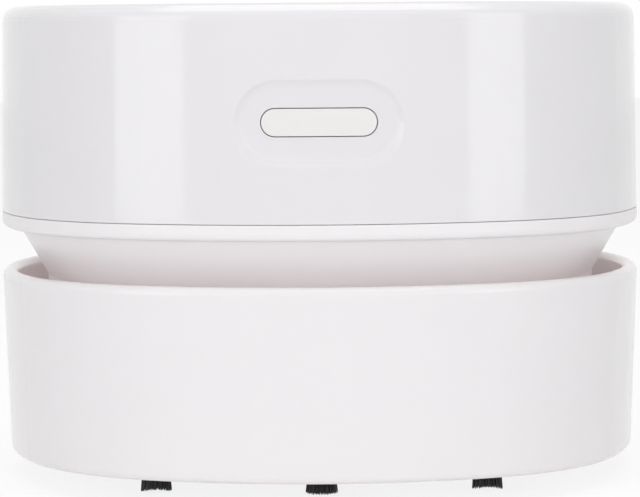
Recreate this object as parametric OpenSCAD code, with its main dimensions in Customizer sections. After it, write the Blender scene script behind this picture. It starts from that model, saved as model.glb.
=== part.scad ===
// Desktop mini vacuum cleaner: a motor housing that lifts off a dust cup on eight brush tufts.
// Millimetres, +Z up, z = 0 at the brush tips, the button faces -Y.

/* [Body outline] */
// Width across the flat sides of the rounded-square body
body_w = 85; // [80:1:95]
// How far the corner arcs are centred from each axis
corner_centre = 10; // [8:0.5:12]

/* [Dust cup] */
// Length of the bristles under the cup
bristle_h = 3; // [2.5:0.1:4]
// Height of the cup from its underside to its rim
cup_h = 24.25; // [23:0.25:28]
// Wall of the cup, and thickness of its round rim
cup_wall = 2; // [1.6:0.1:2.4]
// Thickness of the cup floor
cup_floor = 2; // [1.6:0.1:3]
// How much narrower each side is at the foot than at the rim
cup_draft = 0.8; // [0:0.1:1.2]
// Radius at the foot of the cup
foot_r = 0.8; // [0.6:0.1:2]
// Thickness of the rubber seal between cup and neck
seal_t = 1.5; // [1:0.1:2.5]
// Height of the lip that centres the neck on the seal
lip_h = 3.5; // [2:0.5:4]

/* [Suction inlet] */
// Length of the inlet opening
inlet_w = 25.8; // [18:0.2:28]
// Width of the inlet opening
inlet_d = 9.8; // [6:0.2:12]
// Wall of the inlet chimney
chimney_wall = 1.2; // [0.8:0.1:1.6]
// Height of the chimney over the cup floor
chimney_h = 4; // [2.5:0.1:4]
// Width of the chimney's flange
flange_w = 2.4; // [1.5:0.1:3]
// Thickness of the chimney's flange
flange_t = 1; // [0.8:0.1:1.5]

/* [Brush tufts] */
// Radius of a tuft at its root
tuft_r = 1.65; // [1.4:0.05:1.8]
// How much wider a tuft is at its tips
tuft_flare = 1.16; // [1:0.02:1.25]
// Strands in each tuft
strands = 44; // [38:1:60]
// Corner radius of a strand
strand_r = 0.15; // [0.1:0.01:0.16]
// Thickness of the disc that holds a tuft
puck_t = 1; // [0.6:0.1:1.2]
// Sideways place of the corner tufts
tuft_x = 21.1; // [18:0.1:24]
// Front and back place of the corner tufts
tuft_y = 25.4; // [22:0.1:27]
// Distance of the middle tufts from the centre
tuft_mid = 28.2; // [25:0.1:30]
// Height of the arch under a corner tuft
tuft_arch = 0.35; // [0:0.05:0.4]

/* [Neck and ring] */
// Open gap between the cup's rim and the ring
rim_gap = 5.6; // [5:0.05:8]
// Height of the ring under the seam
ring_h = 2.1; // [1.5:0.1:3]
// Radius of the ring's lower edge
ring_edge_r = 0.8; // [0.4:0.1:1.2]
// Depth of the shadow gap along the seam
seam_gap = 0.08; // [0.05:0.01:0.3]
// Step in from the ring to the top of the neck
neck_top_in = 2.3; // [2.1:0.1:3.2]
// Step in from the body side to the foot of the neck
neck_in = 6; // [5.8:0.1:7]
// Height of the sloping part of the neck
neck_slope_h = 6.4; // [5:0.1:7]
// Wall of the neck
neck_wall = 1.8; // [1.4:0.1:2.2]
// Width of an exhaust slot
slot_w = 3; // [2:0.1:3.4]
// Height of an exhaust slot
slot_h = 4.3; // [2:0.1:4.6]
// Distance between exhaust slots
slot_pitch = 6; // [5.5:0.1:6.5]

/* [Top cover] */
// Height of the cover over the seam
cover_h = 26.9; // [26:0.05:34]
// Wall of the cover
cover_wall = 2; // [1.6:0.1:2.2]
// How much narrower each side is at the top than at the seam
cover_draft = 0.35; // [0:0.05:0.8]
// Radius of the cover's top edge
top_r = 2; // [1.5:0.1:3]

/* [Button] */
// Length of the button
button_w = 14.1; // [12:0.1:16]
// Height of the button
button_h = 3.35; // [3:0.05:5]
// Height of the button's centre over the seam
button_z_up = 12.4; // [11:0.1:15]
// How far the button stands out of its dish
button_proud = 0.1; // [0:0.05:0.5]
// Gap round the button
button_gap = 0.1; // [0.08:0.01:0.3]
// Travel of the button
button_travel = 0.6; // [0.3:0.05:0.6]
// Length of the dish at its floor
dish_w = 19.1; // [18:0.1:22]
// Height of the dish at its floor
dish_h = 8.7; // [7:0.1:10]
// Widening of the dish at the surface, each side
dish_slope = 1.5; // [1:0.1:2]
// Depth of the dish
dish_depth = 0.6; // [0.4:0.1:1.2]
// Thickness of the front wall behind the dish
pad_t = 2.3; // [1.8:0.1:2.6]

/* [Fan and motor] */
// Thickness of the deck that carries the motor
deck_t = 2; // [1.6:0.1:3]
// Height of the fan blades
blade_h = 6; // [5:0.1:6.4]
// Thickness of a fan blade
blade_t = 0.8; // [0.6:0.1:1.2]
// Number of fan blades
blades = 9; // [5:1:11]
// Thickness of the fan's disc
disc_t = 1.2; // [0.8:0.1:1.6]
// Radius of the motor shaft
shaft_r = 1; // [0.75:0.05:1.5]
// Radius of the motor can
motor_r = 12; // [9:0.5:12.5]
// Height of the motor's end cap
end_cap_h = 2.5; // [2:0.1:4]
// Room over the motor for terminals and leads
lead_room = 4.6; // [4:0.1:6]
// Thickness of the rubber sleeve round the motor
sleeve_t = 1.5; // [1:0.1:2]
// Radius of the air eye in the fan plate
eye_r = 11; // [8:0.5:14]
// Thickness of the fan plate
plate_t = 2; // [1.8:0.1:2.6]

/* [Filter] */
// Height of the filter cartridge
filter_h = 5; // [4.5:0.1:5.4]
// Narrowest width of the filter frame's rim
filter_rim = 6.3; // [5:0.1:10]
// Thickness of the metal mesh
mesh_t = 0.5; // [0.3:0.1:1]
// Radius of a hole in the mesh
mesh_hole_r = 0.9; // [0.6:0.1:1.2]

/* [Battery and boards] */
// Radius of a battery cell
cell_r = 7; // [6:0.1:7.2]
// Length of a battery cell
cell_len = 40; // [34:0.5:40]
// Thickness of the circuit boards
board_t = 1.2; // [0.8:0.1:1.6]
// Width of the circuit board
board_w = 28; // [24:0.5:30]
// Depth of the circuit board
board_d = 13; // [11:0.5:14]
// Height of the posts under the circuit board
post_h = 5; // [4.8:0.1:7]
// Width of the charging socket
socket_w = 8.9; // [8.2:0.1:9.2]
// Height of the charging socket
socket_h = 3.2; // [2.8:0.1:3.6]
// Radius of the leads
lead_r = 0.5; // [0.35:0.05:0.6]

/* [Hidden] */
$fn = 64;
root_two = sqrt(2);

// Clearances
fit = 0.05;             // pin or screw in its hole
seat_gap = 0.1;         // fixed pieces, side by side
slide_gap = 0.3;        // pieces that slide past each other

// The outline is four side arcs and four corner arcs. They meet on lines of slope 5/12,
// so that every centre, radius and meeting line is a plain number.
half_w = body_w/2;
side_shift = 1.4*corner_centre;
side_r = half_w + side_shift;
corner_r = half_w - 1.2*corner_centre;
diag_w = corner_centre*root_two + corner_r;
fill_reach = 0.6*half_w;         // how far in the sweeps of a solid plate reach
fill_half = half_w - fill_reach + 1;
wedge_unit = ceil(body_w/6);     // whole numbers, so that neighbouring wedges share one plane
wedge_long = 12*wedge_unit;
wedge_short = 5*wedge_unit;
wedge_h = 2*body_w;

// Heights, from the ground up
base_z = bristle_h;
floor_z = base_z + cup_floor;
rim_z = base_z + cup_h;
ring_z = rim_z + rim_gap;
seam_z = ring_z + ring_h;
top_z = seam_z + cover_h;
ceiling_z = top_z - cover_wall;
neck_foot_z = ring_z - neck_slope_h;

// Heights, from the deck down
deck_drop = 0.6;
deck_top = ring_z - deck_drop;
deck_z = deck_top - deck_t;
fan_top_gap = 1.8;
fan_gap = 0.8;
disc_top = deck_z - fan_top_gap;
disc_z = disc_top - disc_t;
blade_z = disc_z - blade_h;
plate_top = blade_z - fan_gap;
plate_z = plate_top - plate_t;
filter_gap = 0.4;
filter_recess = 0.9;
filter_z = plate_z - filter_gap - filter_h;
skirt_z = filter_z - filter_recess;
shelf_z = skirt_z - seal_t;

// Steps in from the outline
skirt_in = neck_in + neck_wall;
lip_in = neck_in - slide_gap;
lip_t = 1.3;
spigot_in = cover_wall + seat_gap + 0.1;
spigot_t = 1.3;
spigot_top = seam_z + 2;
plate_in = skirt_in + seat_gap;
filter_in = skirt_in + slide_gap;
filter_r = half_w - filter_in - filter_rim;

// Screws
screw_r = 0.9;
head_r = 1.9;
head_h = 1.2;
recess_w = 0.6;
recess_reach = 1.3;
recess_depth = 0.7;
cover_bite = 9;                  // how far each screw holds in its post
plate_bite = 4;
motor_bite = 3;
board_bite = 3.5;
bore_end = 1;                    // bore left past a screw's end

// Posts between deck and fan plate, and the cover's bosses
post_r = 2.4;
post_x = half_w - skirt_in - post_r - 0.9;
boss_r = 2.6;
boss_gap = 0.4;                  // from a cradle's end to a boss
boss_wall = 1.4;                 // from a boss's axis circle to the skirt's inside
fan_r = post_x - post_r - 3.5;

// Motor
motor_front_r = 5;
motor_front_h = 1;
cap_top = ceiling_z - lead_room;
can_top = cap_top - end_cap_h;
motor_screw_x = 8;
collar_t = 1.2;
collar_h = 6;
collar_r = motor_r + sleeve_t + collar_t;
terminal_x = 4;
terminal_h = 2.2;

// Battery
cell_gap = 0.4;
cradle_t = 1.2;
cell_x = collar_r + cell_gap + cell_r;
cell_z = deck_top + cradle_t + cell_r;
tab_t = 0.3;
tab_w = 5;
tab_y = cell_len/2 + fit;
tab_top = cell_z + cell_r + 0.4;
cradle_end = cell_len/2 + cell_gap + cradle_t;
boss_y = cradle_end + boss_gap + boss_r;
boss_reach = corner_r - skirt_in - boss_wall;
boss_x = corner_centre + sqrt(pow(boss_reach, 2) - pow(boss_y - corner_centre, 2));

// Button and switch, from the front face back
button_z = seam_z + button_z_up;
dish_y = -half_w + dish_depth;
switch_lead_x = 8;
switch_lead_up = 3;
switch_lead_bow = 2.5;
switch_lead_drop = 1.5;
switch_lead_landing = 4.5;
dish_arc_steps = 8;
dish_flat_steps = 8;
pad_y = dish_y + pad_t;
flange_y = pad_y + seat_gap;
button_flange_t = 1;
button_flange = 1.4;
button_back = flange_y + button_flange_t;
switch_y = button_back + button_travel + 0.4;
switch_w = 6;
switch_d = 3.5;
plunger_r = 1.7;
plunger_in = 0.8;
switch_board_y = switch_y + switch_d;
switch_board_w = 26;
switch_board_h = 11;
switch_post_x = button_w/2 + button_flange + 2.6;
switch_post_r = 1.7;

// Circuit board and charging socket
board_z = deck_top + post_h;
board_top = board_z + board_t;
board_back = half_w - cover_wall - 2.6;
board_front = board_back - board_d;
board_post_x = board_w/2 - 2.5;
board_post_y = board_back - 3.4;
socket_z = board_top + socket_h/2;
socket_len = 7.6;
socket_front = half_w - cover_wall + 0.8;
socket_wall = 0.35;
socket_gap = 0.3;
tongue_h = 0.7;

// ---------- shared shapes ----------

function arc_points(x, y, r, from, to, steps) =
    [for (i = [0:steps]) let (a = from + (to - from)*i/steps) [x + r*cos(a), y + r*sin(a)]];

// Sweeps a profile round the outline. The profile's x is 0 on the outline and negative inside.
module plan_sweep() {
    for (turn = [0:3]) rotate([0, 0, 90*turn]) {
        intersection() {
            translate([-side_shift, 0, 0]) rotate_extrude() translate([side_r, 0]) children();
            linear_extrude(wedge_h) polygon([[-side_shift, 0],
                                             [wedge_long - side_shift, -wedge_short],
                                             [wedge_long - side_shift, wedge_short]]);
        }
        translate([corner_centre, corner_centre, 0]) intersection() {
            rotate_extrude() translate([corner_r, 0]) children();
            linear_extrude(wedge_h) polygon([[0, 0], [wedge_long, wedge_short],
                                             [wedge_long, wedge_long], [wedge_short, wedge_long]]);
        }
    }
}

module ring_profile(outer_in, inner_in, z0, z1) {
    translate([-inner_in, z0]) square([inner_in - outer_in, z1 - z0]);
}

// A flat plate with the body's outline, drawn in by outer_in.
module plan_plate(outer_in, z0, z1) {
    plan_sweep() ring_profile(outer_in, fill_reach, z0, z1);
    translate([-fill_half, -fill_half, z0]) cube([2*fill_half, 2*fill_half, z1 - z0]);
}

module obround(w, d, h) {
    linear_extrude(h) union() {
        square([w - d, d], center = true);
        for (side = [-1, 1]) translate([side*(w - d)/2, 0]) circle(d = d);
    }
}

// An obround along X that stands in the XZ plane and runs from y0 to y1.
module front_obround(w, h, y0, y1, z) {
    translate([0, y1, z]) rotate([90, 0, 0]) obround(w, h, y1 - y0);
}

// A screw along Z with its crossed head below z = 0 and its shank above.
module screw(len) {
    difference() {
        union() {
            translate([0, 0, -head_h]) cylinder(r = head_r, h = head_h);
            translate([0, 0, -head_h/2]) cylinder(r = screw_r, h = len + head_h/2);
        }
        for (turn = [0, 90]) rotate([0, 0, turn])
            translate([-recess_reach, -recess_w/2, -head_h - 1])
                cube([2*recess_reach, recess_w, 1 + recess_depth]);
    }
}

module at_corners(x, y) {
    for (i = [-1, 1], j = [-1, 1]) translate([i*x, j*y, 0]) children();
}

module at_posts() {
    for (turn = [0:3]) rotate([0, 0, 90*turn]) translate([post_x, 0, 0]) children();
}

// A lead through a list of points, with round bends.
module lead(points) {
    for (i = [0:len(points) - 2]) {
        run = points[i + 1] - points[i];
        flat = norm([run[0], run[1]]);
        translate(points[i]) rotate([0, atan2(flat, run[2]), atan2(run[1], run[0])])
            cylinder(r = lead_r, h = norm(run));
        if (i > 0) translate(points[i]) sphere(r = lead_r);
    }
}

// ---------- dust cup ----------

module dust_cup() {
    foot_in = cup_draft + foot_r;
    lip_r = cup_wall/2;
    profile = concat(
        [[-fill_reach, base_z]],
        arc_points(-foot_in, base_z + foot_r, foot_r, -90, 0, 5),
        arc_points(-lip_r, rim_z - lip_r, lip_r, 0, 180, 10),
        [[-cup_wall - cup_draft, floor_z], [-lip_in + lip_t, floor_z],
         [-lip_in + lip_t, shelf_z + lip_h], [-lip_in, shelf_z + lip_h],
         [-lip_in, shelf_z], [-skirt_in, shelf_z], [-skirt_in, floor_z],
         [-fill_reach, floor_z]]);
    color("white") difference() {
        union() {
            plan_sweep() polygon(profile);
            translate([-fill_half, -fill_half, base_z])
                cube([2*fill_half, 2*fill_half, cup_floor]);
        }
        translate([0, 0, base_z - 1])
            obround(chimney_outer_w + 2*seat_gap, chimney_outer_d + 2*seat_gap, cup_floor + 2);
        for (n = [0:7]) translate([tuft_at(n)[0], tuft_at(n)[1], base_z - 1])
            cylinder(r = puck_r + seat_gap, h = 1 + puck_recess + puck_t);
    }
}

module cup_seal() {
    color("dimgray") plan_sweep()
        ring_profile(lip_in + seat_gap, skirt_in, shelf_z, skirt_z);
}

chimney_outer_w = inlet_w + 2*chimney_wall;
chimney_outer_d = inlet_d + 2*chimney_wall;

module inlet_chimney() {
    color("gainsboro") difference() {
        union() {
            translate([0, 0, base_z])
                obround(chimney_outer_w, chimney_outer_d, cup_floor + chimney_h);
            translate([0, 0, floor_z])
                obround(chimney_outer_w + 2*flange_w, chimney_outer_d + 2*flange_w, flange_t);
        }
        translate([0, 0, base_z - 1]) obround(inlet_w, inlet_d, cup_floor + chimney_h + 2);
    }
}

// ---------- brush tufts ----------

puck_r = tuft_r + strand_r + 0.4;
puck_recess = 0.2;
puck_z = base_z + puck_recess;

// Three tufts along the front, three along the back and one at each side.
function tuft_at(n) = [[-tuft_x, -tuft_y], [0, -tuft_mid], [tuft_x, -tuft_y], [tuft_mid, 0],
                       [tuft_x, tuft_y], [0, tuft_mid], [-tuft_x, tuft_y], [-tuft_mid, 0]][n];
function is_corner_tuft(n) = n % 2 == 0;

golden_turn = 137.508;
root_z = puck_z + puck_t/2;

// Where strand i crosses the tuft at a height, as a share of the way from root to tip.
function strand_place(i, way) =
    let (spread = tuft_r*sqrt((i + 0.5)/strands)*(1 + (tuft_flare - 1)*way), a = i*golden_turn)
    [spread*cos(a), spread*sin(a)];

// Tips end on the ground, except in the middle of a corner tuft's arch.
function tip_z(place, arch) = arch*max(0, 1 - pow(place[0]/(0.8*tuft_r), 2));

function strand_points(i, arch) =
    let (tip = strand_place(i, 1), root = strand_place(i, 0), low = tip_z(tip, arch))
    concat([for (k = [0:2]) [root[0] + strand_r*cos(120*k), root[1] + strand_r*sin(120*k), root_z]],
           [for (k = [0:2]) [tip[0] + strand_r*cos(120*k), tip[1] + strand_r*sin(120*k), low]]);
function strand_faces(i) = let (p = 6*i)
    [[p, p + 2, p + 1], [p + 3, p + 4, p + 5],
     [p, p + 1, p + 4], [p, p + 4, p + 3],
     [p + 1, p + 2, p + 5], [p + 1, p + 5, p + 4],
     [p + 2, p, p + 3], [p + 2, p + 3, p + 5]];

module bristle_tuft(n) {
    arch = is_corner_tuft(n) ? tuft_arch : 0;
    color("black") translate([tuft_at(n)[0], tuft_at(n)[1], 0]) {
        translate([0, 0, puck_z]) cylinder(r = puck_r, h = puck_t);
        polyhedron(points = [for (i = [0:strands - 1]) each strand_points(i, arch)],
                   faces = [for (i = [0:strands - 1]) each strand_faces(i)]);
    }
}

// ---------- housing ----------

function neck_in_at(z) = neck_top_in + (neck_in - neck_top_in)*(ring_z - z)/neck_slope_h;

module lower_housing() {
    slope_wall = neck_wall*1.15;
    profile = concat(
        [[0, seam_z - seam_gap], [-cover_wall/2, seam_z - seam_gap], [-cover_wall/2, seam_z],
         [-spigot_in, seam_z], [-spigot_in, spigot_top], [-spigot_in - spigot_t, spigot_top],
         [-spigot_in - spigot_t, deck_top], [-fill_reach, deck_top], [-fill_reach, deck_z],
         [-neck_in_at(deck_z) - slope_wall, deck_z], [-skirt_in, neck_foot_z],
         [-skirt_in, skirt_z], [-neck_in, skirt_z], [-neck_in, neck_foot_z],
         [-neck_top_in - 0.25, ring_z - 0.5], [-neck_top_in, ring_z]],
        arc_points(-ring_edge_r, ring_z + ring_edge_r, ring_edge_r, -90, 0, 4));
    slot_z = plate_top + 0.6;
    color("whitesmoke") difference() {
        union() {
            plan_sweep() polygon(profile);
            translate([-fill_half, -fill_half, deck_z]) cube([2*fill_half, 2*fill_half, deck_t]);
            at_posts() translate([0, 0, plate_top]) cylinder(r = post_r, h = deck_top - plate_top);
            translate([0, 0, deck_z]) cylinder(r = collar_r, h = deck_t + collar_h);
            for (side = [-1, 1]) translate([side*board_post_x, board_post_y, deck_z])
                cylinder(r = 2, h = board_z - deck_z);
        }
        translate([0, 0, deck_top]) cylinder(r = motor_r + sleeve_t + seat_gap/2, h = collar_h + 1);
        translate([0, 0, deck_z - 1]) cylinder(r = motor_front_r + seat_gap, h = deck_t + 2);
        for (side = [-1, 1]) {
            translate([0, side*motor_screw_x, deck_z - 1])
                cylinder(r = screw_r + seat_gap, h = deck_t + 2);
            translate([side*board_post_x, board_post_y, deck_top])
                cylinder(r = screw_r + fit, h = post_h + 1);
        }
        at_corners(boss_x, boss_y) translate([0, 0, deck_z - 1])
            cylinder(r = screw_r + seat_gap, h = deck_t + 2);
        at_posts() translate([0, 0, plate_top - 1])
            cylinder(r = screw_r + fit, h = 1 + plate_bite + bore_end);
        for (turn = [0:3], k = [-3, -2, -1, 1, 2, 3]) rotate([0, 0, 90*turn])
            translate([post_x, k*slot_pitch - slot_w/2, slot_z])
                cube([half_w - post_x, slot_w, slot_h]);
    }
}

module top_cover() {
    inner_r = max(top_r - cover_wall, 0.5);
    profile = concat(
        [[-cover_wall, seam_z], [0, seam_z]],
        arc_points(-cover_draft - top_r, top_z - top_r, top_r, 0, 90, 6),
        [[-fill_reach, top_z], [-fill_reach, ceiling_z]],
        arc_points(-cover_draft - cover_wall - inner_r, ceiling_z - inner_r, inner_r, 90, 0, 3));
    pad_w = dish_w + 2;
    pad_h = dish_h + 2*dish_slope;
    pad_front = -half_w + cover_wall;
    socket_hole_w = socket_w + 2*socket_gap;
    socket_hole_h = socket_h + 2*socket_gap;
    color("white") difference() {
        union() {
            plan_sweep() polygon(profile);
            translate([-fill_half, -fill_half, ceiling_z])
                cube([2*fill_half, 2*fill_half, cover_wall]);
            translate([-pad_w/2, pad_front, button_z - pad_h/2]) cube([pad_w, pad_y - pad_front, pad_h]);
            at_corners(boss_x, boss_y) translate([0, 0, deck_top])
                cylinder(r = boss_r, h = ceiling_z - deck_top + 1);
            for (side = [-1, 1]) translate([side*switch_post_x, switch_board_y, button_z])
                rotate([90, 0, 0]) cylinder(r = switch_post_r, h = switch_board_y - pad_front);
        }
        dish();
        front_obround(button_w + 2*button_gap, button_h + 2*button_gap, dish_y - 5, pad_y + 5, button_z);
        at_corners(boss_x, boss_y) translate([0, 0, deck_top - 1])
            cylinder(r = screw_r + fit, h = 1 + cover_bite + bore_end);
        for (side = [-1, 1]) translate([side*switch_post_x, switch_board_y + 1, button_z])
            rotate([90, 0, 0]) cylinder(r = screw_r + fit, h = 1 + board_bite + bore_end);
        front_obround(socket_hole_w, socket_hole_h, board_back, half_w + 1, socket_z);
    }
}

// The upper half of an outline round the dish's floor, grown by o: places along the front, and
// heights over the button's centre.
function dish_half(o) =
    let (r = dish_h/2 + o, c = (dish_w - dish_h)/2)
    concat([for (i = [0:dish_arc_steps]) let (a = 180 - 90*i/dish_arc_steps) [-c + r*cos(a), r*sin(a)]],
           [for (i = [1:dish_flat_steps - 1]) [-c + 2*c*i/dish_flat_steps, r]],
           [for (i = [0:dish_arc_steps]) let (a = 90 - 90*i/dish_arc_steps) [c + r*cos(a), r*sin(a)]]);

// The whole outline, wrapped round the front's axis at depth d under its face.
function dish_ring(o, d) =
    let (half = dish_half(o), lower = [for (i = [len(half) - 2:-1:1]) [half[i][0], -half[i][1]]],
         r = side_r - d)
    [for (p = concat(half, lower)) let (a = p[0]/side_r*180/PI)
        [r*sin(a), side_shift - r*cos(a), button_z + p[1]]];

// The soft dish round the button. Its wall is an S: it leaves the face slowly, falls fastest
// halfway and meets the floor slowly. The floor follows the front's curve.
module dish() {
    rings = [dish_ring(-0.5*dish_slope, 1.26*dish_depth), dish_ring(0.25*dish_slope, 0.87*dish_depth),
             dish_ring(0.75*dish_slope, 0.13*dish_depth), dish_ring(1.5*dish_slope, -0.26*dish_depth),
             dish_ring(1.5*dish_slope, -1)];
    n = len(rings[0]);
    top = len(rings) - 1;
    walls = [for (j = [0:top - 1], i = [0:n - 1])
        let (a = j*n + i, b = j*n + (i + 1)%n) each [[a, b, b + n], [a, b + n, a + n]]];
    outer_cap = concat([for (i = [0:n/2 - 2]) [i, i + 1, n - i - 1]], [for (i = [1:n/2 - 1]) [i, n - i - 1, n - i]]);
    inner_cap = [for (f = outer_cap) [f[2], f[1], f[0]]];
    difference() {
        polyhedron(points = [for (ring = rings) each ring],
                   faces = concat(inner_cap, walls, [for (f = outer_cap) [for (i = f) i + top*n]]));
        translate([0, side_shift, button_z - 2*dish_h])
            cylinder(r = side_r - dish_depth, h = 4*dish_h);
    }
}

module power_button() {
    color("white") {
        intersection() {
            front_obround(button_w, button_h, dish_y - 1, button_back, button_z);
            translate([0, side_shift, button_z - button_h])
                cylinder(r = side_r - dish_depth + button_proud, h = 2*button_h);
        }
        front_obround(button_w + 2*button_flange, button_h + 2*button_flange,
                      flange_y, button_back, button_z);
    }
}

module switch_plunger() {
    color("black") translate([0, switch_y + plunger_in, button_z]) rotate([90, 0, 0])
        cylinder(r = plunger_r, h = switch_y + plunger_in - button_back);
}

module switch_body() {
    color("dimgray") difference() {
        translate([-switch_w/2, switch_y, button_z - switch_w/2]) cube([switch_w, switch_d, switch_w]);
        translate([0, switch_y + plunger_in + button_travel + 0.4, button_z]) rotate([90, 0, 0])
            cylinder(r = plunger_r + fit, h = 5);
    }
}

module switch_board() {
    color("seagreen") difference() {
        translate([-switch_board_w/2, switch_board_y, button_z - switch_board_h/2])
            cube([switch_board_w, board_t, switch_board_h]);
        for (side = [-1, 1]) translate([side*switch_post_x, switch_board_y + board_t + 1, button_z])
            rotate([90, 0, 0]) cylinder(r = screw_r + seat_gap, h = board_t + 2);
    }
}

module switch_board_screws() {
    color("silver") for (side = [-1, 1])
        translate([side*switch_post_x, switch_board_y + board_t, button_z])
            rotate([90, 0, 0]) screw(board_t + board_bite);
}

module housing_screws() {
    color("silver") at_corners(boss_x, boss_y) translate([0, 0, deck_z]) screw(deck_t + cover_bite);
}

// ---------- motor and fan ----------

module motor_can() {
    color("silver") difference() {
        union() {
            translate([0, 0, deck_top]) cylinder(r = motor_r, h = can_top - deck_top);
            translate([0, 0, deck_top - motor_front_h])
                cylinder(r = motor_front_r, h = motor_front_h + 1);
        }
        translate([0, 0, deck_z]) cylinder(r = shaft_r + fit, h = can_top - deck_z + 1);
        for (side = [-1, 1]) translate([0, side*motor_screw_x, deck_top - 1])
            cylinder(r = screw_r + fit, h = 1 + motor_bite + bore_end/2);
    }
}

module motor_end_cap() {
    color("black") difference() {
        translate([0, 0, can_top]) cylinder(r = motor_r - 0.5, h = end_cap_h);
        translate([0, 0, can_top - 1]) cylinder(r = shaft_r + fit, h = end_cap_h);
    }
}

module motor_terminals() {
    color("gold") for (side = [-1, 1])
        translate([side*terminal_x - 0.25, -1.2, cap_top]) cube([0.5, 2.4, terminal_h]);
}

module motor_sleeve() {
    color("dimgray") translate([0, 0, deck_top]) difference() {
        cylinder(r = motor_r + sleeve_t, h = collar_h);
        translate([0, 0, -1]) cylinder(r = motor_r + seat_gap/2, h = collar_h + 2);
    }
}

module motor_screws() {
    color("silver") for (side = [-1, 1]) translate([0, side*motor_screw_x, deck_z])
        screw(deck_t + motor_bite);
}

module motor_shaft() {
    color("silver") translate([0, 0, blade_z + 1]) cylinder(r = shaft_r, h = can_top + 1 - blade_z - 1);
}

// Each blade is an arc of its own circle, which also passes through the axis.
module fan_impeller() {
    hub_r = shaft_r + 2.5;
    blade_arc = 0.66*fan_r;
    function arc_angle(reach) = acos(pow(reach/blade_arc, 2)/2 - 1);
    outer = arc_angle(fan_r - 0.6);
    inner = arc_angle(0.4*fan_r);
    color("dimgray") difference() {
        union() {
            translate([0, 0, disc_z]) cylinder(r = fan_r, h = disc_t);
            translate([0, 0, blade_z + 1]) cylinder(r = hub_r, h = disc_top + 0.3 - blade_z - 1);
            for (n = [0:blades - 1]) rotate([0, 0, 360*n/blades]) translate([blade_arc, 0, blade_z])
                rotate([0, 0, outer]) rotate_extrude(angle = inner - outer)
                    translate([blade_arc - blade_t/2, 0]) square([blade_t, blade_h + disc_t/2]);
        }
        translate([0, 0, blade_z]) cylinder(r = shaft_r + fit/2, h = disc_top - blade_z + 1);
    }
}

module fan_plate() {
    color("gainsboro") difference() {
        plan_plate(plate_in, plate_z, plate_top);
        translate([0, 0, plate_z - 1]) cylinder(r = eye_r, h = plate_t + 2);
        at_posts() {
            translate([0, 0, plate_z - 1]) cylinder(r = screw_r + seat_gap, h = plate_t + 2);
            translate([0, 0, plate_z - 1]) cylinder(r = head_r + seat_gap, h = 1 + head_h);
        }
    }
}

module fan_plate_screws() {
    color("silver") at_posts() translate([0, 0, plate_z + head_h]) screw(plate_t - head_h + plate_bite);
}

// ---------- filter ----------

module filter_frame() {
    lip_w = 1.5;
    lip_z = 0.8;
    color("lightsteelblue") difference() {
        plan_sweep() ring_profile(filter_in, fill_reach, filter_z, filter_z + filter_h);
        translate([0, 0, filter_z + lip_z]) cylinder(r = filter_r, h = filter_h);
        difference() {
            translate([0, 0, filter_z - 1]) cylinder(r = filter_r - lip_w, h = filter_h + 2);
            for (turn = [0, 90]) rotate([0, 0, turn])
                translate([-filter_r, -1, filter_z - 2]) cube([2*filter_r, 2, 2 + lip_z]);
        }
    }
    color("lightsteelblue") for (turn = [0, 90]) rotate([0, 0, turn])
        translate([-filter_r, -1, filter_z]) cube([2*filter_r, 2, lip_z]);
}

module filter_mesh() {
    pitch = 5;
    reach = floor(filter_r/pitch);
    color("silver") translate([0, 0, filter_z + 0.8]) linear_extrude(mesh_t) difference() {
        circle(r = filter_r - seat_gap);
        for (i = [-reach:reach], j = [-reach:reach])
            if (norm([i, j])*pitch < filter_r - 3) translate([i*pitch, j*pitch]) circle(r = mesh_hole_r);
    }
}

module filter_foam() {
    color("slategray") translate([0, 0, filter_z + 0.8 + mesh_t])
        cylinder(r = filter_r - slide_gap, h = filter_h - 0.8 - mesh_t);
}

// ---------- battery and boards ----------

module battery(side) {
    nub_h = 0.8;
    color("royalblue") translate([side*cell_x, cell_len/2, cell_z]) rotate([90, 0, 0]) {
        translate([0, 0, nub_h]) cylinder(r = cell_r, h = cell_len - nub_h);
        cylinder(r = 0.4*cell_r, h = 2*nub_h);
    }
}

module battery_left() { battery(-1); }
module battery_right() { battery(1); }

module cradle(side) {
    wide = 2*cell_r - 1;
    color("gainsboro") difference() {
        translate([side*cell_x - wide/2, -cradle_end, deck_top])
            cube([wide, 2*cradle_end, cell_z - 1.5 - deck_top]);
        translate([side*cell_x, cradle_end - cradle_t, cell_z]) rotate([90, 0, 0])
            cylinder(r = cell_r + fit, h = 2*(cradle_end - cradle_t));
    }
}

module cradle_left() { cradle(-1); }
module cradle_right() { cradle(1); }

module battery_tabs() {
    color("silver") for (i = [-1, 1], j = [-1, 1])
        translate([i*cell_x - tab_w/2, j > 0 ? tab_y : -tab_y - tab_t, cell_z - 3])
            cube([tab_w, tab_t, tab_top - cell_z + 3]);
}

module circuit_board() {
    color("seagreen") difference() {
        translate([-board_w/2, board_front, board_z]) cube([board_w, board_d, board_t]);
        for (side = [-1, 1]) translate([side*board_post_x, board_post_y, board_z - 1])
            cylinder(r = screw_r + seat_gap, h = board_t + 2);
    }
}

module circuit_board_screws() {
    color("silver") for (side = [-1, 1]) translate([side*board_post_x, board_post_y, board_top])
        rotate([180, 0, 0]) screw(board_t + post_h - 1);
}

module charger_chip() {
    color("black") translate([-2.5, board_front + 2.4, board_top]) cube([5, 4, 1.4]);
}

module charge_socket() {
    color("silver") difference() {
        front_obround(socket_w, socket_h, socket_front - socket_len, socket_front, socket_z);
        front_obround(socket_w - 2*socket_wall, socket_h - 2*socket_wall,
                      socket_front - socket_len + 1, socket_front + 1, socket_z);
    }
}

module socket_tongue() {
    color("black") translate([-socket_w/2 + 1.3, socket_front - socket_len + 1, socket_z - tongue_h/2])
        cube([socket_w - 2.6, socket_len - 1.8, tongue_h]);
}

// ---------- leads ----------

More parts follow.
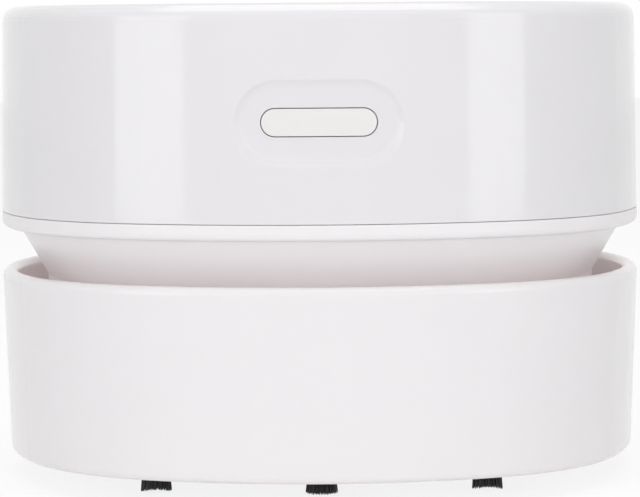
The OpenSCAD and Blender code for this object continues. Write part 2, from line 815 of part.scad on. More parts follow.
module motor_leads() {
    over = cap_top + terminal_h + fit;
    high = ceiling_z - lead_r - 0.6;
    down_y = board_front + 1.2;
    color("red") for (side = [-1, 1])
        lead([[side*terminal_x, 0, over], [side*terminal_x, 0, high], [side*terminal_x, down_y, high],
              [side*terminal_x, down_y, board_top + fit]]);
}

module battery_leads() {
    high = tab_top + 2;
    end_y = tab_y + tab_t/2;
    land_x = board_w/2 - 2;
    land_y = board_front + 2.5;
    color("black") {
        for (side = [-1, 1])
            lead([[side*cell_x, end_y, tab_top + fit], [side*cell_x, end_y, high],
                  [side*land_x, end_y, high], [side*land_x, land_y, high],
                  [side*land_x, land_y, board_top + fit]]);
        lead([[-cell_x, -end_y, tab_top + fit], [-cell_x, -end_y, high], [cell_x, -end_y, high],
              [cell_x, -end_y, tab_top + fit]]);
    }
}

module switch_leads() {
    back_y = switch_board_y + board_t + fit;
    high = ceiling_z - 3*lead_r - switch_lead_drop;
    bow_y = back_y + switch_lead_bow;
    exit_z = button_z + switch_lead_up;
    down_y = board_front + switch_lead_landing;
    color("white") for (side = [-1, 1])
        lead([[side*switch_lead_x, back_y, exit_z], [side*switch_lead_x, bow_y, exit_z],
              [side*switch_lead_x, bow_y, high], [side*switch_lead_x, down_y, high],
              [side*switch_lead_x, down_y, board_top + fit]]);
}

dust_cup();
cup_seal();
inlet_chimney();
bristle_tuft(0);  // bristle_tuft_1
bristle_tuft(1);  // bristle_tuft_2
bristle_tuft(2);  // bristle_tuft_3
bristle_tuft(3);  // bristle_tuft_4
bristle_tuft(4);  // bristle_tuft_5
bristle_tuft(5);  // bristle_tuft_6
bristle_tuft(6);  // bristle_tuft_7
bristle_tuft(7);  // bristle_tuft_8
lower_housing();
top_cover();
power_button();
switch_plunger();
switch_body();
switch_board();
switch_board_screws();
motor_can();
motor_end_cap();
motor_terminals();
motor_sleeve();
motor_screws();
motor_shaft();
fan_impeller();
fan_plate();
fan_plate_screws();
housing_screws();
filter_frame();
filter_mesh();
filter_foam();
battery_left();
battery_right();
cradle_left();
cradle_right();
battery_tabs();
circuit_board();
circuit_board_screws();
charger_chip();
charge_socket();
socket_tongue();
motor_leads();
battery_leads();
switch_leads();
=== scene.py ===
# %% [markdown]
# # A desktop mini vacuum cleaner
# This lesson dresses a small white desk vacuum: a glossy drum over a satin cup that stands on
# brush tufts. The shapes come from a CAD frame in metres, so here we make the camera, the
# finishes, the bristles and the light. Nearly everything is white, so the object reads only
# through gloss, soft shadow and the reflections of two tall lamps.

# %% The frame
import math
import random

import bmesh
import bpy
from mathutils import Matrix, Vector


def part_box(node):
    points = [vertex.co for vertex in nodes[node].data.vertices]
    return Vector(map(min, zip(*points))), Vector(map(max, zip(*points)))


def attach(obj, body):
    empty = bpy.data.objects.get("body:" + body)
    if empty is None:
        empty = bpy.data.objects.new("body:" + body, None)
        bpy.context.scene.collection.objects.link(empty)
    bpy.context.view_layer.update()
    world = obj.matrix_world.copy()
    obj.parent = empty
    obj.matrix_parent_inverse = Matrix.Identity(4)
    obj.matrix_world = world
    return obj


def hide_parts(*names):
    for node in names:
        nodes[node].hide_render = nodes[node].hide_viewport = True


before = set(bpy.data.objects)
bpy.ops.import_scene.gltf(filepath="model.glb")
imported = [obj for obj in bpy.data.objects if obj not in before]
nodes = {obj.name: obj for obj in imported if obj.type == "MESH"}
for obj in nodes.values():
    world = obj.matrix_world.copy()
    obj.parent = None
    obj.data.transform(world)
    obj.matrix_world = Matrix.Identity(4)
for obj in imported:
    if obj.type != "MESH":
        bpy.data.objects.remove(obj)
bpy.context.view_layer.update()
MM = 0.001

# %% [markdown]
# ## The camera
# The photograph is a close product shot through a long lens: the object fills the frame, and
# yet its rims bend only a little. How much the seam, the rim and the foot each bend gives the
# height of the eye, which is just under the top of the drum. We set the lens from that fit,
# lean the camera down a little, and roll it by the half degree that the photograph has.

# %% The camera
PHOTO_WIDTH = 640
focal_pixels = 3096
eye = Vector((0.0, -0.417, 0.05925))
lean_down = math.radians(4.15)
roll = math.radians(-0.43)

camera_data = bpy.data.cameras.new("photo_camera")
camera_data.sensor_width = 36.0
camera_data.lens = focal_pixels / PHOTO_WIDTH * camera_data.sensor_width
camera_data.clip_start = 0.01
camera = bpy.data.objects.new("photo_camera", camera_data)
camera.matrix_world = (Matrix.Translation(eye) @ Matrix.Rotation(math.pi / 2 - lean_down, 4, "X")
                       @ Matrix.Rotation(roll, 4, "Z"))
bpy.context.scene.collection.objects.link(camera)
bpy.context.scene.camera = camera
bpy.context.scene.view_settings.view_transform = "Standard"
print("lens", round(camera_data.lens, 1), "mm")

# %% [markdown]
# ## Small helpers for shader graphs
# A material is a graph of nodes. Short helpers keep each graph readable: one adds a node and
# sets its values, one adds a maths node from its inputs, and two make and place groups.
# Group sockets are made with interface.new_socket.

# %% Node helpers
def add(tree, kind, x=0, y=0, inputs=None, **values):
    """A node of that kind, with its settings, and inputs set to a value or linked from a socket."""
    made = tree.nodes.new("ShaderNode" + kind)
    made.location = (x, y)
    for name, value in values.items():
        setattr(made, name, value)
    for name, value in (inputs or {}).items():
        if isinstance(value, bpy.types.NodeSocket):
            tree.links.new(value, made.inputs[name])
        else:
            made.inputs[name].default_value = value
    return made


def maths(tree, operation, a, b=0.0, x=0, y=0, clamp=False):
    """The result of one maths node. a and b are numbers or sockets."""
    made = add(tree, "Math", x, y, {0: a, 1: b}, operation=operation)
    made.use_clamp = clamp
    return made.outputs[0]


def noise_scale(tree, size_mm, x=0, y=0):
    """The Scale at which a noise in object space, which is in metres, has features of that size."""
    return maths(tree, "DIVIDE", 1.0 / MM, size_mm, x, y)

# %% Group helpers
def new_group(name, ins, outs):
    """An empty group and its two ends. ins holds (name, default), outs holds (name, type)."""
    tree = bpy.data.node_groups.new(name, "ShaderNodeTree")
    for label, default in ins:
        kind = "NodeSocketVector" if isinstance(default, tuple) else "NodeSocketFloat"
        socket = tree.interface.new_socket(label, in_out="INPUT", socket_type=kind)
        socket.default_value = default
    for label, kind in outs:
        tree.interface.new_socket(label, in_out="OUTPUT", socket_type="NodeSocket" + kind)
    ends = tree.nodes.new("NodeGroupInput"), tree.nodes.new("NodeGroupOutput")
    ends[0].location = (-900, 0)
    ends[1].location = (600, 0)
    return tree, *ends


def use_group(tree, group, x=0, y=0, **inputs):
    """Places a group in a material. Keyword names stand for its inputs, with _ for a space."""
    made = tree.nodes.new("ShaderNodeGroup")
    made.node_tree = group
    made.location = (x, y)
    for name, value in inputs.items():
        made.inputs[name.replace("_", " ")].default_value = value
    return made

# %% [markdown]
# ## Moulding grain
# Moulded plastic is never quite flat: the tool leaves a fine grain, and the melt leaves slow
# waves. An image could carry that, but noise in object space costs no file and keeps its scale
# on every piece. The group gives a height for bump and a slow mottle that colour and roughness
# can follow.

# %% Moulding grain group
grain_group, g_in, g_out = new_group(
    "moulding_grain", [("Grain mm", 0.4), ("Wave mm", 9.0), ("Wave share", 0.3)],
    [("Height", "Float"), ("Mottle", "Float")])
place = add(grain_group, "TexCoord", -1100, 200).outputs["Object"]
fine = add(grain_group, "TexNoise", -500, 200, {
    "Vector": place, "Detail": 3.0,
    "Scale": noise_scale(grain_group, g_in.outputs["Grain mm"], -700, 200)})
slow = add(grain_group, "TexNoise", -500, -50, {
    "Vector": place, "Detail": 2.0,
    "Scale": noise_scale(grain_group, g_in.outputs["Wave mm"], -700, 0)})
waves = maths(grain_group, "MULTIPLY", slow.outputs["Fac"], g_in.outputs["Wave share"], -250, -50)
height = maths(grain_group, "ADD", fine.outputs["Fac"], waves, 0, 100)
grain_group.links.new(height, g_out.inputs["Height"])
grain_group.links.new(slow.outputs["Fac"], g_out.inputs["Mottle"])
print("group", grain_group.name)

# %% [markdown]
# ## Rubbed edges and settled dust
# A handled thing shows it first at its edges, which polish and pale, and on top, where dust
# settles. Comparing the true normal with one from a Bevel node finds the edges of any mesh,
# without painting a mask by hand. Dust follows how far a surface looks up, broken by noise, so
# it turns with the object and not with the camera.

# %% Edge rub group
EDGE_REACH = 0.5 * MM
EDGE_GAIN = 6.0

rub_group, r_in, r_out = new_group(
    "edge_rub", [("Breakup mm", 3.0), ("Strength", 1.0)], [("Mask", "Float")])
round_edge = add(rub_group, "Bevel", -700, 200, {"Radius": EDGE_REACH}, samples=4)
true_face = add(rub_group, "NewGeometry", -700, 0)
agree = add(rub_group, "VectorMath", -500, 100, {
    0: round_edge.outputs["Normal"], 1: true_face.outputs["Normal"]},
    operation="DOT_PRODUCT").outputs["Value"]
turned = maths(rub_group, "MULTIPLY", maths(rub_group, "SUBTRACT", 1.0, agree, -300, 100),
               EDGE_GAIN, -150, 100, True)
breakup = add(rub_group, "TexNoise", -500, -200, {
    "Vector": add(rub_group, "TexCoord", -900, -200).outputs["Object"], "Detail": 4.0,
    "Scale": noise_scale(rub_group, r_in.outputs["Breakup mm"], -700, -250)})
patchy = maths(rub_group, "MULTIPLY", turned, breakup.outputs["Fac"], 50, 0)
rubbed = maths(rub_group, "MULTIPLY", patchy, r_in.outputs["Strength"], 250, 0, True)
rub_group.links.new(rubbed, r_out.inputs["Mask"])
print("group", rub_group.name)

# %% Settled dust group
dust_group, d_in, d_out = new_group(
    "settled_dust", [("Patch mm", 5.0), ("Amount", 0.2)], [("Mask", "Float")])
surface = add(dust_group, "NewGeometry", -700, 100)
facing = add(dust_group, "SeparateXYZ", -500, 100, {"Vector": surface.outputs["Normal"]})
upward = maths(dust_group, "MAXIMUM", facing.outputs["Z"], 0.0, -350, 100)
looks_up = maths(dust_group, "POWER", upward, 2.0, -200, 100)
patches = add(dust_group, "TexNoise", -500, -150, {
    "Vector": add(dust_group, "TexCoord", -900, -150).outputs["Object"], "Detail": 6.0,
    "Scale": noise_scale(dust_group, d_in.outputs["Patch mm"], -700, -200)})
specks = maths(dust_group, "MULTIPLY", looks_up, patches.outputs["Fac"], 0, 0)
settled = maths(dust_group, "MULTIPLY", specks, d_in.outputs["Amount"], 200, 0, True)
dust_group.links.new(settled, d_out.inputs["Mask"])
print("group", dust_group.name)

# %% [markdown]
# ## Painted light inside the hollows
# The hollow between cup and neck is paler and warmer than the lamps here make it. Subsurface
# scattering would grey and cool these thin walls. So an Ambient Occlusion node measures how
# enclosed a point is, wherever the viewer stands, and the group turns that into a faint warm
# emission: painted light in the hollows, which stands in for light that no lamp here gives.

# %% Painted hollow light group
# The tint of the painted light: its green and its blue as shares of its red.
WARM_GREEN = 0.76
WARM_BLUE = 0.7

painted_light_group, l_in, l_out = new_group(
    "painted_hollow_light", [("Reach mm", 14.0), ("Strength", 0.2)], [("Painted light", "Color")])
reach_m = maths(painted_light_group, "DIVIDE", l_in.outputs["Reach mm"], 1.0 / MM, -750, 0)
openness = add(painted_light_group, "AmbientOcclusion", -600, 100, {"Distance": reach_m}, samples=8)
enclosed = maths(painted_light_group, "SUBTRACT", 1.0, openness.outputs["AO"], -400, 100, True)
share = maths(painted_light_group, "MULTIPLY", enclosed, l_in.outputs["Strength"], -200, 100)
painted_warm_light = add(painted_light_group, "CombineColor", 200, 0, {
    "Red": share, "Green": maths(painted_light_group, "MULTIPLY", share, WARM_GREEN, 0, 0),
    "Blue": maths(painted_light_group, "MULTIPLY", share, WARM_BLUE, 0, -150)})
painted_light_group.links.new(painted_warm_light.outputs[0], l_out.inputs["Painted light"])
print("group", painted_light_group.name)

# %% [markdown]
# ## White mouldings
# The drum, the cup, the neck and the button are one family of white ABS with different polish.
# Each gets the grain as bump and as a slight change of roughness, paler rubbed edges and a
# trace of dust. A Bevel node under the bump rounds the hard CAD edges by a few tenths of a
# millimetre, as a mould does.

# %% Shared steps of a material
COLOUR_A, COLOUR_B, COLOUR_RESULT = 6, 7, 2     # the Mix node's sockets for colour


def new_material(name):
    """A new material, its graph and its Principled BSDF."""
    material = bpy.data.materials.new(name)
    material.use_nodes = True
    return material, material.node_tree, material.node_tree.nodes["Principled BSDF"]


def mix_colour(tree, factor, low, high, x=0, y=0):
    """A colour that goes from low to high with factor. low and high are sockets or colours."""
    ends = [end if isinstance(end, bpy.types.NodeSocket) else (*end, 1.0) for end in (low, high)]
    return add(tree, "Mix", x, y, {"Factor": factor, COLOUR_A: ends[0], COLOUR_B: ends[1]},
               data_type="RGBA").outputs[COLOUR_RESULT]


def soften_and_bump(tree, shader, height, bump_mm, edge_mm):
    """Rounds the edges in shading by edge_mm, and raises the surface by bump_mm times height."""
    soft_edge = add(tree, "Bevel", -450, -420, {"Radius": edge_mm * MM}, samples=6)
    relief = add(tree, "Bump", -200, -350, {
        "Strength": 1.0, "Distance": bump_mm * MM, "Height": height,
        "Normal": soft_edge.outputs["Normal"]})
    tree.links.new(relief.outputs["Normal"], shader.inputs["Normal"])


def dress(material, *names):
    """Gives these CAD nodes the material, in every slot that they have."""
    for name in names:
        for holder in nodes[name].material_slots:
            holder.material = material
    print(material.name, "on", ", ".join(names))

# %% Moulded plastic
RUB_PALER = 0.05
DUST_COLOUR = (0.62, 0.6, 0.57)
DUST_MATTING = 0.5


def moulded(name, colour, shade, rough, rough_spread, grain_mm, bump_mm, edge_mm, dust, rub,
            wave_share=0.3, coat=0.0, coat_rough=0.1, painted_light_strength=0.0):
    """Injection-moulded plastic: two close tones, grain, rubbed edges and a little dust."""
    material, tree, shader = new_material(name)
    grain = use_group(tree, grain_group, -900, 0, Grain_mm=grain_mm, Wave_share=wave_share)
    worn = use_group(tree, rub_group, -900, -250, Strength=rub)
    dusty = use_group(tree, dust_group, -900, -450, Amount=dust)
    tone = mix_colour(tree, grain.outputs["Mottle"], shade, colour, -600, 200)
    pale = tuple(min(1.0, c + RUB_PALER) for c in colour)
    tone = mix_colour(tree, worn.outputs["Mask"], tone, pale, -400, 200)
    tone = mix_colour(tree, dusty.outputs["Mask"], tone, DUST_COLOUR, -200, 200)
    tree.links.new(tone, shader.inputs["Base Color"])
    spread = maths(tree, "MULTIPLY", grain.outputs["Mottle"], rough_spread, -600, -50)
    base = maths(tree, "ADD", spread, rough - rough_spread / 2, -450, -50)
    matted = maths(tree, "MULTIPLY", dusty.outputs["Mask"], DUST_MATTING, -450, -200)
    tree.links.new(maths(tree, "ADD", base, matted, -250, -50, True), shader.inputs["Roughness"])
    soften_and_bump(tree, shader, grain.outputs["Height"], bump_mm, edge_mm)
    shader.inputs["Coat Weight"].default_value = coat
    shader.inputs["Coat Roughness"].default_value = coat_rough
    # Painted light in the hollows: a faint warm emission where a point is enclosed, though the
    # plastic is no lamp.
    if painted_light_strength:
        hollow = use_group(tree, painted_light_group, -300, -650, Strength=painted_light_strength)
        tree.links.new(hollow.outputs["Painted light"], shader.inputs["Emission Color"])
        shader.inputs["Emission Strength"].default_value = 1.0
    return material

# %% The four white finishes
gloss_white = moulded(
    "gloss_white", (0.835, 0.82, 0.84), (0.82, 0.805, 0.825), rough=0.11, rough_spread=0.03,
    grain_mm=0.5, bump_mm=0.002, edge_mm=0.15, dust=0.05, rub=0.5, wave_share=2.0, coat=0.2,
    coat_rough=0.04)
# The cup and the neck below also carry a faint painted light in their hollows.
satin_white = moulded(
    "satin_cup_white", (0.895, 0.875, 0.89), (0.885, 0.865, 0.88), rough=0.15, rough_spread=0.08,
    grain_mm=0.3, bump_mm=0.012, edge_mm=0.2, dust=0.1, rub=0.6, painted_light_strength=0.055)
neck_white = moulded(
    "satin_neck_white", (0.91, 0.89, 0.905), (0.9, 0.88, 0.895), rough=0.34, rough_spread=0.08,
    grain_mm=0.3, bump_mm=0.01, edge_mm=0.25, dust=0.12, rub=0.6, painted_light_strength=0.07)
button_white = moulded(
    "button_white", (0.86, 0.845, 0.835), (0.85, 0.835, 0.825), rough=0.34, rough_spread=0.06,
    grain_mm=0.25, bump_mm=0.008, edge_mm=0.2, dust=0.05, rub=0.5)
dress(gloss_white, "top_cover")
dress(satin_white, "dust_cup")
dress(neck_white, "lower_housing")
dress(button_white, "power_button")

# %% [markdown]
# ## Inner mouldings and rubber
# Once the housing is lifted off, plainer inner pieces show: grey-white polystyrene, a black
# switch, a dark fan. They use the same recipe with rougher values, because hidden parts come
# from less polished tools. Rubber takes the recipe too, with a deeper, finer grain and hardly
# any rubbed shine.

# %% Inner mouldings
inner_plastic = moulded(
    "inner_plastic", (0.66, 0.66, 0.65), (0.6, 0.6, 0.59), rough=0.48, rough_spread=0.1,
    grain_mm=0.35, bump_mm=0.015, edge_mm=0.15, dust=0.3, rub=0.5)
black_plastic = moulded(
    "black_plastic", (0.022, 0.022, 0.023), (0.014, 0.014, 0.015), rough=0.45, rough_spread=0.1,
    grain_mm=0.3, bump_mm=0.015, edge_mm=0.12, dust=0.04, rub=0.25)
fan_plastic = moulded(
    "fan_plastic", (0.05, 0.05, 0.053), (0.036, 0.036, 0.038), rough=0.42, rough_spread=0.12,
    grain_mm=0.4, bump_mm=0.01, edge_mm=0.12, dust=0.1, rub=0.3, wave_share=0.6)
filter_plastic = moulded(
    "filter_plastic", (0.26, 0.33, 0.4), (0.22, 0.29, 0.36), rough=0.45, rough_spread=0.1,
    grain_mm=0.4, bump_mm=0.012, edge_mm=0.15, dust=0.25, rub=0.5)
seal_rubber = moulded(
    "seal_rubber", (0.06, 0.06, 0.063), (0.045, 0.045, 0.047), rough=0.75, rough_spread=0.12,
    grain_mm=0.18, bump_mm=0.03, edge_mm=0.2, dust=0.3, rub=0.15, wave_share=0.2)
dress(inner_plastic, "inlet_chimney", "fan_plate", "cradle_left", "cradle_right")
dress(black_plastic, "switch_plunger", "switch_body", "motor_end_cap", "charger_chip",
      "socket_tongue")
dress(fan_plastic, "fan_impeller")
dress(filter_plastic, "filter_frame")
dress(seal_rubber, "cup_seal", "motor_sleeve")

# %% [markdown]
# ## Metals
# The motor can is drawn zinc-plated steel, the shaft is ground, and the screws, mesh and tabs
# are plated. Drawn and ground metal carries long fine marks: noise squeezed across one axis
# shows them as streaks. The streaks go to roughness and bump, because on bare metal the light
# shows the marks more than colour does.

# %% Drawn streaks group
ACROSS, ALONG = 40.0, 2.0       # how far the noise is squeezed across a mark, and along it
ALONG_Z = (ACROSS, ACROSS, ALONG)
ROUND_Z = (ALONG, ALONG, ACROSS)
ROWS_OF_X = (ALONG, ACROSS, ALONG)
EVEN = (20.0, 20.0, 20.0)
STAIN_SCALE = 220.0

streak_group, s_in, s_out = new_group(
    "drawn_streaks", [("Stretch", ALONG_Z), ("Streak mm", 0.25)],
    [("Height", "Float"), ("Stain", "Float")])
metal_place = add(streak_group, "TexCoord", -1100, 100).outputs["Object"]
stretched = add(streak_group, "VectorMath", -700, 200, {
    0: metal_place, 1: s_in.outputs["Stretch"]}, operation="MULTIPLY").outputs["Vector"]
streak_scale = maths(streak_group, "DIVIDE", 1.0 / (ACROSS * MM), s_in.outputs["Streak mm"],
                     -700, 0)
streaks = add(streak_group, "TexNoise", -450, 200, {
    "Vector": stretched, "Scale": streak_scale, "Detail": 4.0})
stains = add(streak_group, "TexNoise", -450, -100, {
    "Vector": metal_place, "Scale": STAIN_SCALE, "Detail": 3.0})
streak_group.links.new(streaks.outputs["Fac"], s_out.inputs["Height"])
streak_group.links.new(stains.outputs["Fac"], s_out.inputs["Stain"])
print("group", streak_group.name)

# %% Bare metal
STREAK_ROUGHNESS = 0.18
RUB_BRIGHTER = 0.15


def bare_metal(name, colour, stained, rough, stretch, streak_mm=0.25):
    """Drawn, ground or plated metal: streaked roughness, faint stains and bright edges."""
    material, tree, shader = new_material(name)
    marks = use_group(tree, streak_group, -900, 0, Stretch=stretch, Streak_mm=streak_mm)
    worn = use_group(tree, rub_group, -900, -250, Strength=0.5)
    tone = mix_colour(tree, marks.outputs["Stain"], stained, colour, -600, 200)
    bright = tuple(min(1.0, c + RUB_BRIGHTER) for c in colour)
    tone = mix_colour(tree, worn.outputs["Mask"], tone, bright, -400, 200)
    tree.links.new(tone, shader.inputs["Base Color"])
    streaky = maths(tree, "MULTIPLY", marks.outputs["Height"], STREAK_ROUGHNESS, -600, -50)
    tree.links.new(maths(tree, "ADD", streaky, rough - STREAK_ROUGHNESS / 2, -400, -50, True),
                   shader.inputs["Roughness"])
    soften_and_bump(tree, shader, marks.outputs["Height"], bump_mm=0.006, edge_mm=0.12)
    shader.inputs["Metallic"].default_value = 1.0
    return material

# %% The metals
motor_steel = bare_metal("motor_steel", (0.56, 0.56, 0.57), (0.46, 0.46, 0.47), 0.34, ROUND_Z)
shaft_steel = bare_metal("shaft_steel", (0.62, 0.62, 0.63), (0.55, 0.55, 0.56), 0.2, ROUND_Z,
                         streak_mm=0.12)
screw_steel = bare_metal("screw_steel", (0.5, 0.5, 0.52), (0.4, 0.4, 0.42), 0.3, EVEN,
                         streak_mm=0.2)
mesh_steel = bare_metal("mesh_steel", (0.58, 0.58, 0.58), (0.48, 0.48, 0.48), 0.36, ROWS_OF_X,
                        streak_mm=0.3)
contact_metal = bare_metal("contact_metal", (0.62, 0.52, 0.3), (0.5, 0.41, 0.24), 0.28, EVEN,
                           streak_mm=0.3)
dress(motor_steel, "motor_can", "charge_socket")
dress(shaft_steel, "motor_shaft")
dress(screw_steel, "switch_board_screws", "motor_screws", "fan_plate_screws", "housing_screws",
      "circuit_board_screws")
dress(mesh_steel, "filter_mesh", "battery_tabs")
dress(contact_metal, "motor_terminals")

# %% [markdown]
# ## Foam and boards
# The filter foam is open-celled, so Voronoi cells sink into it, darkened by painted shade. The
# boards are glass fibre under green lacquer, with tracks as faint lines. Each is one graph of its
# own, because nothing else on the object shares its look.

# %% Filter foam
def open_cell_foam(name, colour, painted_pore_shade, pore_mm):
    """Open-celled foam: pores painted darker than their walls as painted shade, and also sunk by
    bump.
    """
    material, tree, shader = new_material(name)
    spot = add(tree, "TexCoord", -1000, 0).outputs["Object"]
    pores = add(tree, "TexVoronoi", -800, 0, {"Vector": spot, "Scale": 1.0 / (pore_mm * MM)})
    walls = maths(tree, "MULTIPLY", pores.outputs["Distance"], 1.6, -600, 0, True)
    # The pores are darker in colour: painted shade in the recesses.
    tree.links.new(mix_colour(tree, walls, painted_pore_shade, colour, -350, 200), shader.inputs["Base Color"])
    relief = add(tree, "Bump", -250, -300, {
        "Strength": 1.0, "Distance": 0.3 * MM, "Height": walls})
    tree.links.new(relief.outputs["Normal"], shader.inputs["Normal"])
    shader.inputs["Roughness"].default_value = 0.95
    return material


foam_grey = open_cell_foam("filter_foam", (0.16, 0.18, 0.2), (0.03, 0.035, 0.04), pore_mm=0.7)
dress(foam_grey, "filter_foam")

# %% Circuit boards
def lacquered_board(name, lacquer, track, pitch_mm):
    """Green lacquer over fine straight tracks, which stand up a few hundredths of a millimetre."""
    material, tree, shader = new_material(name)
    spot = add(tree, "TexCoord", -1200, 0).outputs["Object"]
    lines = add(tree, "TexBrick", -900, 0, {
        "Vector": spot, "Scale": 1.0 / (pitch_mm * MM), "Mortar Size": 0.09,
        "Mortar Smooth": 0.3, "Brick Width": 3.5, "Row Height": 1.0})
    tracks = lines.outputs["Fac"]
    tree.links.new(mix_colour(tree, tracks, lacquer, track, -500, 200), shader.inputs["Base Color"])
    relief = add(tree, "Bump", -300, -300, {
        "Strength": 1.0, "Distance": 0.03 * MM, "Height": tracks})
    tree.links.new(relief.outputs["Normal"], shader.inputs["Normal"])
    shader.inputs["Roughness"].default_value = 0.32
    shader.inputs["Coat Weight"].default_value = 0.3
    return material


board_green = lacquered_board("board_green", (0.01, 0.12, 0.05), (0.03, 0.24, 0.1), pitch_mm=1.1)
dress(board_green, "circuit_board", "switch_board")

# %% [markdown]
# ## Cells and leads
# The two cells wear a blue shrink wrap, and the leads have a soft vinyl skin. Both are smooth
# plastics, so the moulding recipe serves again: slow waves in the wrap, and a fine grain with
# a darker second tone in the vinyl.

# %% Cell wrap and lead skins
cell_wrap = moulded(
    "cell_wrap", (0.03, 0.1, 0.32), (0.025, 0.085, 0.28), rough=0.28, rough_spread=0.08,
    grain_mm=1.6, bump_mm=0.02, edge_mm=0.3, dust=0.05, rub=0.4, wave_share=1.5, coat=0.3)
dress(cell_wrap, "battery_left", "battery_right")
for lead_name, lead_colour in (("motor_leads", (0.42, 0.02, 0.02)),
                               ("battery_leads", (0.02, 0.02, 0.02)),
                               ("switch_leads", (0.66, 0.65, 0.63))):
    skin = moulded(
        lead_name + "_vinyl", lead_colour, tuple(0.8 * c for c in lead_colour), rough=0.4,
        rough_spread=0.1, grain_mm=0.5, bump_mm=0.01, edge_mm=0.05, dust=0.05, rub=0.2,
        wave_share=0.5)
    dress(skin, lead_name)

# %% [markdown]
# ## The brush tufts
# Eight tufts of black nylon stand in the floor of the cup and sweep crumbs to the inlet. The
# CAD tufts are few thick strands, for contact and weight. Here each becomes a dense bundle of
# fine strands. A hair system would be quick, but real strand meshes keep their place in every
# view and in an exported model.

# %% Rings of a strand
def strand_ring(mesh, centre, radius, sides, turn):
    """A level ring of new points round centre."""
    turns = [turn + 2 * math.pi * k / sides for k in range(sides)]
    return [mesh.verts.new((centre[0] + radius * math.cos(a), centre[1] + radius * math.sin(a),
                            centre[2])) for a in turns]


def bridge(mesh, rings):
    """Joins each ring to the next one with a band of four-sided faces."""
    for lower, upper in zip(rings, rings[1:]):
        for k in range(len(lower)):
            mesh.faces.new((lower[k], lower[k - 1], upper[k - 1], upper[k]))

# %% The disc that holds a tuft
DISC_T = 1.0 * MM
DISC_EDGE = 0.15 * MM


def build_disc(mesh, x, y, top, radius):
    """A round disc with a small slope at its lower edge. Returns the height of its underside."""
    low = top - DISC_T
    steps = ((low, radius - DISC_EDGE), (low + DISC_EDGE, radius), (top, radius))
    rings = [strand_ring(mesh, (x, y, z), r, 32, 0.0) for z, r in steps]
    mesh.faces.new(reversed(rings[0]))
    mesh.faces.new(rings[-1])
    bridge(mesh, rings)
    return low

# %% One tuft of strands
STRANDS = 190
STRAND_RADIUS = 0.075 * MM
STRAND_TAPER = ((0.0, 1.0), (0.35, 1.0), (0.7, 1.0), (0.94, 0.95), (1.0, 0.5))
BUNDLE_INSET = 0.45 * MM        # from the disc's edge to the outer strands
ROOT_DEPTH = 0.3 * MM           # from the disc's underside up to the strands' roots
GOLDEN_ANGLE = math.radians(137.508)
SPLAY = 1.14                    # how much wider the bundle is at its tips


def build_tuft(name, low, high, arch):
    """Strands packed in the CAD tuft's box: straight at the root, splayed, uneven at the tip."""
    rng = random.Random(name)
    middle = [(a + b) / 2 for a, b in zip(low, high)]
    puck_radius = (high[0] - low[0]) / 2
    bundle = puck_radius - BUNDLE_INSET
    mesh = bmesh.new()
    root = build_disc(mesh, middle[0], middle[1], high[2], puck_radius) + ROOT_DEPTH
    for i in range(STRANDS):
        reach = bundle * math.sqrt((i + 0.5) / STRANDS)
        angle = i * GOLDEN_ANGLE
        side = (math.cos(angle), math.sin(angle))
        splay = SPLAY + rng.uniform(-0.03, 0.05)
        tip_x = reach * splay * side[0]
        hollow = arch * max(0.0, 1.0 - (tip_x / bundle) ** 2)
        tip = low[2] + hollow + rng.uniform(0.0, 0.09) * MM
        drift = (rng.uniform(-0.06, 0.06) * MM, rng.uniform(-0.06, 0.06) * MM)
        rings = []
        for way, width in STRAND_TAPER:
            spread = 1.0 + (splay - 1.0) * way ** 1.5
            centre = (middle[0] + reach * spread * side[0] + drift[0] * way ** 2,
                      middle[1] + reach * spread * side[1] + drift[1] * way ** 2,
                      root + (tip - root) * way)
            rings.append(strand_ring(mesh, centre, STRAND_RADIUS * width, 5, angle))
        mesh.faces.new(rings[-1])
        bridge(mesh, rings)
    bmesh.ops.recalc_face_normals(mesh, faces=mesh.faces)
    data = bpy.data.meshes.new(name)
    mesh.to_mesh(data)
    mesh.free()
    for face in data.polygons:
        face.use_smooth = len(face.vertices) == 4
    piece = bpy.data.objects.new(name, data)
    bpy.context.scene.collection.objects.link(piece)
    return piece

# %% [markdown]
# ## Nylon
# Nylon bristle is black with a dull gleam along each strand. The streak noise, squeezed across
# the strands, varies the tone from strand to strand, so that the bundle reads as strands and
# not as one block. Every second tuft is worn to a shallow arch, as the left one in the
# photograph is.

# %% Nylon
def bristle_nylon(name):
    """Black nylon whose tone and roughness change from strand to strand."""
    material, tree, shader = new_material(name)
    strand_to_strand = use_group(tree, streak_group, -900, 0, Stretch=(ACROSS, ACROSS, 1.0),
                                 Streak_mm=0.12)
    tone = mix_colour(tree, strand_to_strand.outputs["Height"], (0.004, 0.004, 0.005),
                      (0.045, 0.045, 0.047), -500, 200)
    tree.links.new(tone, shader.inputs["Base Color"])
    varied = maths(tree, "MULTIPLY", strand_to_strand.outputs["Stain"], 0.3, -500, -50)
    tree.links.new(maths(tree, "ADD", varied, 0.25, -300, -50), shader.inputs["Roughness"])
    return material

# %% The eight tufts
TUFTS = 8
WORN_ARCH = 0.35 * MM

nylon = bristle_nylon("bristle_nylon")
for number in range(1, TUFTS + 1):
    node_name = f"bristle_tuft_{number}"
    box_low, box_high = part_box(node_name)
    tuft = build_tuft(f"nylon_tuft_{number}", box_low, box_high, WORN_ARCH if number % 2 else 0.0)
    tuft.data.materials.append(nylon)
    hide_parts(node_name)
    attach(tuft, "cup")
    print(tuft.name, len(tuft.data.polygons), "faces")

# %% [markdown]
# ## Table and light
# The object stands on a pale table under two tall soft boxes and a wide one overhead. The tall
# boxes show as two upright bands on the drum, so their angle and width come from where those
# bands lie. A low fill lights the cup and doesn't mirror, and a faint one in front lifts the
# drum. White behind the object comes from what the camera, gloss and glass see of world and
# table, never from more light on the object.

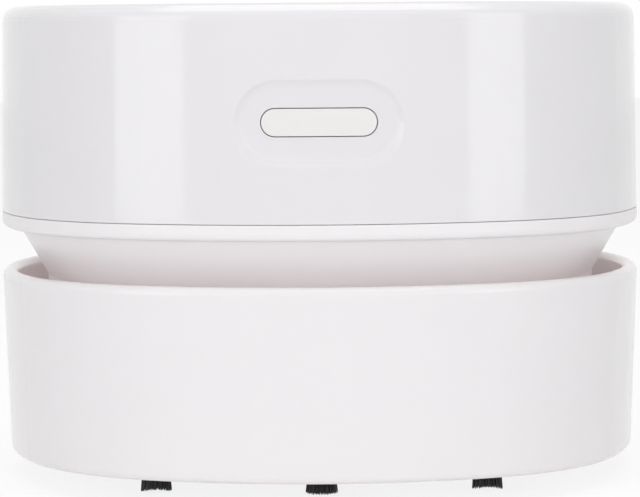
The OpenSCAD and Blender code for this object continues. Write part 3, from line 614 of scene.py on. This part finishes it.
# %% The table
TABLE_SIDE = 4.0
TABLE_WHITE = 1.05              # strength of the white that the background rays see
TABLE_SHARE = 0.8               # how much of that white they see, with the shadow in the rest


def sees_background(tree):
    """1 for the rays that meet the white of the studio: the camera's, mirrored and refracted."""
    paths = add(tree, "LightPath", -800, 0)
    mirrored = maths(tree, "MAXIMUM", paths.outputs["Is Glossy Ray"],
                     paths.outputs["Is Transmission Ray"], -600, -100)
    return maths(tree, "MAXIMUM", paths.outputs["Is Camera Ray"], mirrored, -400, 0)


def pale_table():
    """A square, matt and pale table top at height zero."""
    mesh = bmesh.new()
    bmesh.ops.create_grid(mesh, x_segments=2, y_segments=2, size=TABLE_SIDE / 2)
    data = bpy.data.meshes.new("pale_table")
    mesh.to_mesh(data)
    mesh.free()
    table = bpy.data.objects.new("pale_table", data)
    bpy.context.scene.collection.objects.link(table)
    material, tree, shader = new_material("pale_table")
    shader.inputs["Base Color"].default_value = (0.85, 0.85, 0.85, 1.0)
    shader.inputs["Roughness"].default_value = 0.9
    shader.inputs["Specular IOR Level"].default_value = 0.1
    white = add(tree, "Emission", 0, -300, {"Color": (1.0, 1.0, 1.0, 1.0),
                                            "Strength": TABLE_WHITE})
    seen = maths(tree, "MULTIPLY", sees_background(tree), TABLE_SHARE, -200, 300)
    blend = add(tree, "MixShader", 300, 0, {0: seen, 1: shader.outputs[0], 2: white.outputs[0]})
    tree.links.new(blend.outputs[0], tree.nodes["Material Output"].inputs["Surface"])
    data.materials.append(material)
    return table


print(pale_table().name, TABLE_SIDE, "m wide")

# %% The lamps
def soft_box(name, where, size, radiance, target=(0.0, 0.0, 0.03), mirrored=True):
    """A rectangular lamp whose face has that radiance, at any size, turned to the object."""
    data = bpy.data.lights.new(name, "AREA")
    data.shape = "RECTANGLE"
    data.size, data.size_y = size
    data.energy = radiance * math.pi * size[0] * size[1]
    lamp = bpy.data.objects.new(name, data)
    lamp.location = where
    lamp.rotation_euler = (Vector(target) - Vector(where)).to_track_quat("-Z", "Y").to_euler()
    lamp.visible_glossy = mirrored
    bpy.context.scene.collection.objects.link(lamp)
    print(name, "radiance", radiance, "power", round(data.energy, 2), "W")


def round_from_camera(degrees, distance, height):
    """A place round the object, degrees to the right of the camera."""
    angle = math.radians(degrees)
    return (distance * math.sin(angle), -distance * math.cos(angle), height)


soft_box("left_box", round_from_camera(-49, 0.9, 0.12), (0.42, 0.9), 1.45)
soft_box("right_box", round_from_camera(51.5, 0.9, 0.12), (0.37, 0.9), 1.5)
soft_box("overhead_box", (0.0, -0.05, 0.9), (0.9, 0.7), 1.75)
soft_box("low_fill", round_from_camera(0, 1.1, 0.19), (1.3, 0.22), 3.0, mirrored=False)
soft_box("front_box", round_from_camera(-8, 1.1, 0.46), (1.3, 0.6), 0.2)

# %% The world
world = bpy.data.worlds.new("studio_air")
world.use_nodes = True
bpy.context.scene.world = world
air = world.node_tree
ambient = 0.4
extra = maths(air, "MULTIPLY", sees_background(air), 1.0 - ambient, -200, 0)
strength = maths(air, "ADD", extra, ambient, 0, 0)
air.nodes["Background"].inputs["Color"].default_value = (1.0, 1.0, 1.0, 1.0)
air.links.new(strength, air.nodes["Background"].inputs["Strength"])
print("world ambient", ambient)
